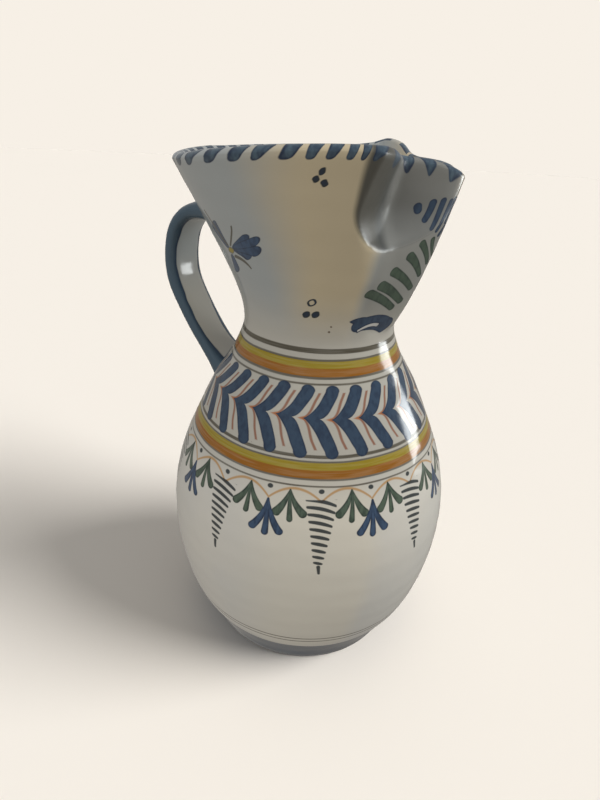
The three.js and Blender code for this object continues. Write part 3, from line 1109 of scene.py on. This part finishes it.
nodes, colour = start_glaze("neck_glaze")
# Painted shade in the thumb presses.
colour, pressed = shade_in_press(nodes, colour)
paper_place = paper_of(nodes)
hairs = hairs_of(nodes, (1, 1, 0.4), 480)
for petal in PETALS:
    petal_edge = strokes_on(paper_place, [petal])
    colour = fill(nodes, colour, petal_edge, BLUE, BLUE_DEEP, hairs, pool=0.8)
colour = nodes.blend(colour, LINE, strokes_on(paper_place, SEPALS).step(0.2, -0.2) * 0.9)
heart = strokes_on(paper_place, HEART)
colour = nodes.blend(colour, LINE, heart.step(0.6, 0.1) * 0.8)
colour = nodes.blend(colour, YELLOW, heart.step(0.1, -0.4) * 0.9)
open_ring = abs(strokes_on(paper_place, RING_DOT)) - 0.42
dots = strokes_on(paper_place, DOTS).least(open_ring)
colour = fill(nodes, colour, dots, BLUE_DEEP, HATCH, hairs)
colour = nodes.blend(colour, SPECK, strokes_on(paper_place, FLECKS).step(0.2, -0.2) * 0.9)
neck_glaze = finish_glaze(nodes, lay_rim(nodes, colour), pressed)

# %% Sprig on the spout
LEAVES = [
    ((-35.6, 205.2), (-14.2, 196.9), (2.2, 1.6), -0.7),
    ((-28.8, 208.5), (-9.6, 199.7), (2.3, 1.6), -0.7),
    ((-22.2, 213.9), (-5.9, 205.4), (2.2, 1.4), -0.7),
    ((-14.4, 220.0), (-3.2, 211.2), (2.1, 1.2), -0.7),
    ((-8.6, 225.0), (-0.8, 216.4), (1.8, 1.0), -0.5),
    ((-2.6, 226.4), (1.0, 219.6), (1.3, 0.7), 0.3),
]
SPOUT_BLUES = [
    ((-11.8, 239.2), (-11.6, 238.0), (1.8, 1.7)),
    ((-5.9, 240.8), (-8.8, 234.6), (1.75, 1.5), -0.5),
    ((-1.8, 241.6), (-5.6, 231.2), (1.5, 1.3), -0.6),
    ((1.8, 241.6), (-2.2, 230.0), (1.1, 1.0), -0.5),
    ((3.8, 242.4), (2.2, 233.2), (1.0, 1.0)),
    ((3.6, 232.6), (0.4, 228.2), (1.3, 1.0)),
]
SCROLL = [
    ((-42.8, 191.9), (-33.0, 190.6), (0.3, 3.2), -0.6, 0.7),
    ((-35.2, 190.0), (-12.8, 187.8), (3.9, 4.2), -1.6),
]
CRESCENT = [((-35.4, 187.2), (-20.0, 188.6), (0.5, 0.9), -1.3)]
RIDGE_LINE_TOP, RIDGE_LINE_FOOT = 243, 186

nodes, colour = start_glaze("spout_glaze")
# Painted shade in the thumb presses.
colour, pressed = shade_in_press(nodes, colour)
paper_place = paper_of(nodes)
hairs = hairs_of(nodes, (1, 1, 0.5), 480)
for strokes, pale, deep, pool in ((LEAVES, SPRIG_GREEN, GREEN_DEEP, 1.0),
                                  (SPOUT_BLUES, NAVY, BLUE_DEEP, 1.0),
                                  (SCROLL, NAVY, BLUE_DEEP, 1.3)):
    colour = fill(nodes, colour, strokes_on(paper_place, strokes), pale, deep, hairs, pool)
crescent = strokes_on(paper_place, CRESCENT)
colour = nodes.blend(colour, BLUE_DEEP, crescent.step(1.0, 0.5) * 0.9)
colour = nodes.blend(colour, WHITE_COOL, crescent.step(0.15, -0.15) * 0.85)
run, height = paper_place
ridge_line = (run - 0.45).most(height - RIDGE_LINE_TOP * STRETCH)
ridge_line = ridge_line.most(RIDGE_LINE_FOOT * STRETCH - height)
colour = nodes.blend(colour, LINE, ridge_line.step(0.35, -0.25) * 0.85)
spout_glaze = finish_glaze(nodes, lay_rim(nodes, colour), pressed)

# %% [markdown]
# ## Handle, inside and foot ring
# The strap is blue on its back and its sides, with the brush drawn along it, and bare
# glaze towards the jug, with a sharp border. Inside there is plain glaze, but a band
# just under the lip takes the neck's paint, so some of its dots and strokes show there
# too. The foot ring stood on the kiln shelf, so it was wiped, and shows the red clay.

# %% Handle glaze
BLUE_BORDER = 0.2
nodes, colour = start_glaze("handle_glaze")
strap_map = nodes.add("UVMap", {"uv_map": "strap_lay"}).outputs[0]
strap_place = nodes.add("SeparateXYZ", {}, {0: strap_map})
round_strap = abs(abs(nodes.number(strap_place.outputs[0])) - 1.0)
shift, lift = shaken(nodes, 0.05, 60)
border = (BLUE_BORDER - round_strap + shift) * 14.0
long_hairs = nodes.noise(26, 3, (9, 0.7, 1), strap_map).outputs["Fac"]
long_hairs = nodes.number(long_hairs).step(0.22, 0.78)
colour = fill(nodes, colour, border, RIM_BLUE, BLUE_DEEP, long_hairs * 0.7, pool=1.6)
handle_glaze = finish_glaze(nodes, colour)

# %% Inside glaze and bare clay
CLAY, CLAY_DEEP = (0.36, 0.17, 0.09), (0.24, 0.105, 0.055)
nodes, colour = start_glaze("inside_glaze")
inside_glaze = finish_glaze(nodes, colour)
nodes = Nodes("foot_clay")
grit = nodes.number(nodes.noise(900, 3).outputs["Fac"])
clay = nodes.blend(CLAY, CLAY_DEEP, grit.step(0.3, 0.7))
smear = nodes.number(nodes.noise(60, 3).outputs["Fac"]).step(0.5, 0.7)
clay = nodes.blend(clay, WHITE_COOL, smear * 0.5)
rough = nodes.add("Bump", {}, {"Height": grit, "Strength": 0.4, "Distance": 0.0004})
nodes.tree.links.new(clay, nodes.surface.inputs["Base Color"])
nodes.tree.links.new(grit.step(0.2, 0.8, 0.75, 0.95).socket, nodes.surface.inputs["Roughness"])
nodes.tree.links.new(rough.outputs[0], nodes.surface.inputs["Normal"])
foot_clay = nodes.material

# %% Give each surface its material
for material in (foot_glaze, belly_glaze, shoulder_glaze, neck_glaze, spout_glaze,
                 inside_glaze, foot_clay):
    body.data.materials.append(material)
handle.data.materials.append(handle_glaze)
print("surfaces of the body:", [m.name for m in body.data.materials])

# %% [markdown]
# ## Table and light
# The jug stands on a wide pale floor in a bright round room, so its background is even
# from every side. The jug itself is in soft shade, which a photographer gets by giving
# the table its own light. Here light linking does that: a low sun shines on the floor
# alone, where the jug throws its wide soft shadow, and a window at the side, a high
# window and a weak front lamp light the jug alone. Only the window at the side shows
# in the glaze, as one tall highlight.

# %% Floor and backdrop
PALE = (0.930, 0.871, 0.791)
SKY, SUN = 0.38, 0.68
GROUND_GLOW = (0.33, 0.31, 0.28)
FLOOR_RADIUS, ROOM_RADIUS = 9, 8.9


def stage_piece(mesh_data, name):
    mesh = bpy.data.meshes.new(name)
    mesh_data.to_mesh(mesh)
    mesh_data.free()
    piece = bpy.data.objects.new(name, mesh)
    bpy.context.scene.collection.objects.link(piece)
    piece.visible_diffuse = False
    piece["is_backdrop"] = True
    return piece


floor_mesh = bmesh.new()
bmesh.ops.create_circle(floor_mesh, cap_ends=True, segments=96, radius=FLOOR_RADIUS)
floor = stage_piece(floor_mesh, "floor")
floor.visible_glossy = False
nodes = Nodes("floor_paint")
nodes.surface.inputs["Base Color"].default_value = (*[c / (SKY + SUN) for c in PALE], 1)
nodes.surface.inputs["Roughness"].default_value = 0.95
nodes.surface.inputs["Specular IOR Level"].default_value = 0.0
floor.data.materials.append(nodes.material)

room_mesh = bmesh.new()
bmesh.ops.create_uvsphere(room_mesh, u_segments=64, v_segments=32, radius=ROOM_RADIUS)
backdrop = stage_piece(room_mesh, "backdrop")
backdrop.visible_shadow = False
backdrop.visible_glossy = False
nodes = Nodes("backdrop_paint")
nodes.surface.inputs["Base Color"].default_value = (0, 0, 0, 1)
nodes.surface.inputs["Specular IOR Level"].default_value = 0.0
nodes.surface.inputs["Emission Color"].default_value = (*PALE, 1)
nodes.surface.inputs["Emission Strength"].default_value = 1.0
backdrop.data.materials.append(nodes.material)
print("floor and backdrop", [len(o.data.polygons) for o in (floor, backdrop)], "faces")


# %% Lights
def group_of(name, pieces):
    group = bpy.data.collections.new(name)
    for piece in pieces:
        group.objects.link(piece)
    return group


def add_light(kind, name, place, target, group, power, colour=(1, 1, 1)):
    """A light that shines on one group; the place is given as seen from the camera's side."""
    data = bpy.data.lights.new(name, kind)
    data.energy = power
    data.color = colour
    light = bpy.data.objects.new(name, data)
    bpy.context.scene.collection.objects.link(light)
    turn = Matrix.Rotation(JUG_TURN, 3, "Z")
    place, target = turn @ Vector(place), turn @ Vector(target)
    facing = (target - place).to_track_quat("-Z", "Y").to_matrix().to_4x4()
    light.matrix_world = Matrix.Translation(place) @ facing
    light.light_linking.receiver_collection = group
    return light


def window(name, place, target, size, glow, colour=(1, 1, 1)):
    """A rectangular light of a given brightness that shines on the jug."""
    light = add_light("AREA", name, place, target, on_jug, glow * pi * size[0] * size[1], colour)
    light.data.shape = "RECTANGLE"
    light.data.size, light.data.size_y = size
    return light


on_jug = group_of("lit_with_the_jug", [body, handle])
on_floor = group_of("lit_with_the_floor", [floor])
sun_height = 0.55
sun = add_light("SUN", "floor_sun", (0.99, -0.13, sun_height / sqrt(1 - sun_height**2)), (0, 0, 0),
                on_floor, SUN * pi / sun_height)
sun.data.angle = radians(36)
window("tall_window", (1.15, 0.35, 0.19), (0, 0, 0.16), (0.40, 0.36), 9, (0.96, 1.0, 1.0))
high = window("high_window", (0.75, -0.1, 1.1), (0, 0, 0.1), (0.8, 0.8), 3.3, (1.0, 0.98, 0.94))
high.visible_glossy = False
front = window("front_lamp", (-0.72, -1.15, 1.0), (0, 0, 0.08), (1.0, 0.8), 2.6, (1.0, 0.98, 0.95))
front.visible_glossy = False

world = bpy.data.worlds.new("room")
world.use_nodes = True
tree = world.node_tree
way = tree.nodes.new("ShaderNodeSeparateXYZ")
tree.links.new(tree.nodes.new("ShaderNodeTexCoord").outputs["Generated"], way.inputs[0])
share = tree.nodes.new("ShaderNodeMapRange")
share.inputs["From Min"].default_value, share.inputs["From Max"].default_value = -0.02, 0.0
tree.links.new(way.outputs["Z"], share.inputs["Value"])
halves = tree.nodes.new("ShaderNodeMix")
halves.data_type = "RGBA"
halves.inputs[6].default_value = (*GROUND_GLOW, 1)
halves.inputs[7].default_value = (SKY, SKY, SKY, 1)
tree.links.new(share.outputs["Result"], halves.inputs[0])
tree.links.new(halves.outputs[2], tree.nodes["Background"].inputs["Color"])
bpy.context.scene.world = world
bpy.context.scene.view_settings.view_transform = "Standard"

# %% [markdown]
# ## Size of the dressed jug
# The dressed jug has to keep the size of the solid model, so the boxes of both are
# printed.

# %% Size of the dressed jug
low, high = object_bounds()
print("box of the dressed jug in mm:", [round(1000 * (b - a), 1) for a, b in zip(low, high)])
